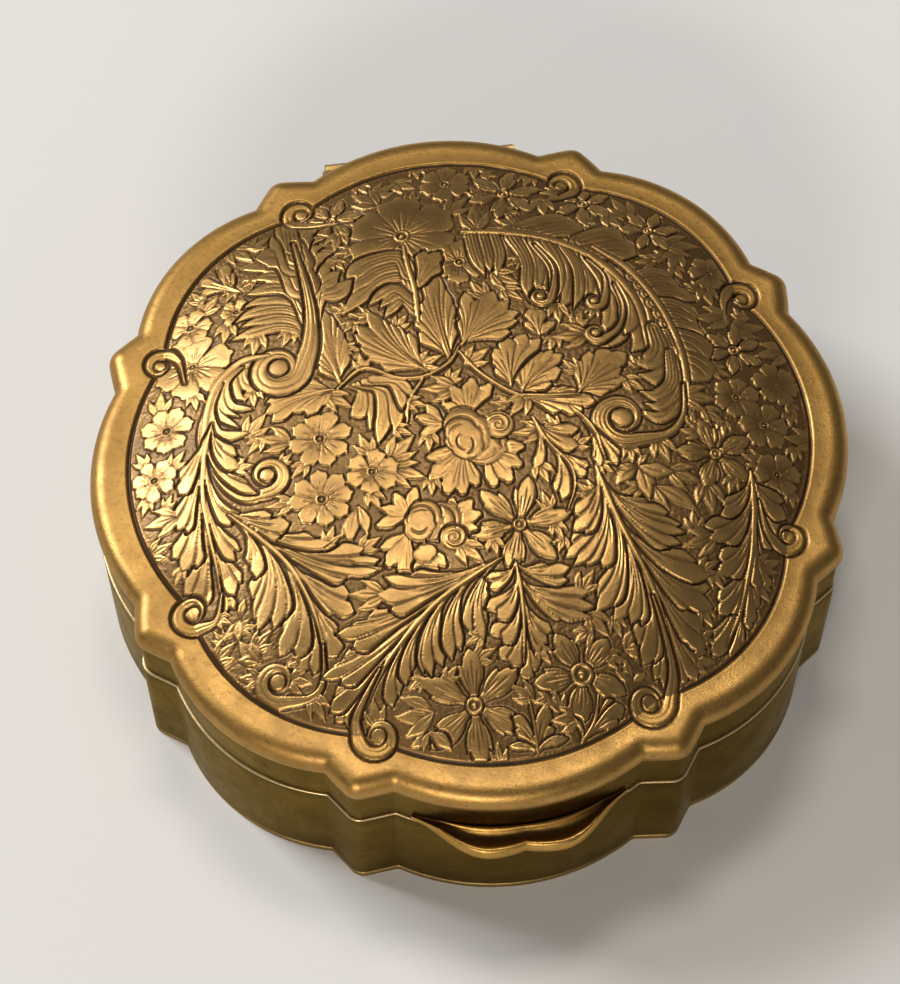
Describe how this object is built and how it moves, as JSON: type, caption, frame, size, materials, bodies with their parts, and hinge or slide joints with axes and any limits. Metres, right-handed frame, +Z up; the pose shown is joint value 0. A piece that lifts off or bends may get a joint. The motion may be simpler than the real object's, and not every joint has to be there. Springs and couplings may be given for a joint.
{
  "type": "turkish delight box",
  "caption": "Small round scalloped sweet box in aged brass, with a domed hinged lid engraved with leaf scrolls and flowers, a plain rolled rim and a two-peaked thumb piece.",
  "frame": {"origin": "centre of the bottom face, on the surface that the box stands on", "axes": "+Z up through the crown of the lid, -Y towards the thumb piece at the front, +Y towards the hinge, +X to the right seen from the front"},
  "size_m": [0.0892, 0.0961, 0.0332],
  "materials": {
    "base_brass": "dull aged brass",
    "wall_brass": "satin aged brass, darker near the seam",
    "collar_brass": "bright rubbed brass",
    "hinge_brass": "rubbed brass",
    "pin_brass": "bright rubbed brass",
    "engraved_brass": "engraved, with dark patina in the cuts and a rubbed plain rim",
    "thumb_brass": "rubbed satin brass"
  },
  "bodies": {
    "base": {"base_floor": "base_brass", "base_wall": "wall_brass", "base_collar": "collar_brass", "base_hinge_gutter": "hinge_brass", "base_knuckle_left": "hinge_brass", "base_knuckle_middle": "hinge_brass", "base_knuckle_right": "hinge_brass", "hinge_pin": "pin_brass"},
    "lid": {"lid_top": "engraved_brass", "lid_band": "wall_brass", "lid_hinge_gutter": "hinge_brass", "lid_knuckle_left": "hinge_brass", "lid_knuckle_right": "hinge_brass", "thumb_piece": "thumb_brass"}
  },
  "joints": [
    {"name": "lid_hinge", "type": "hinge", "parent": "base", "child": "lid", "pos_m": [0, 0.0465, 0.0174], "axis": [-1, 0, 0], "range_deg": [0, 105]}
  ]
}
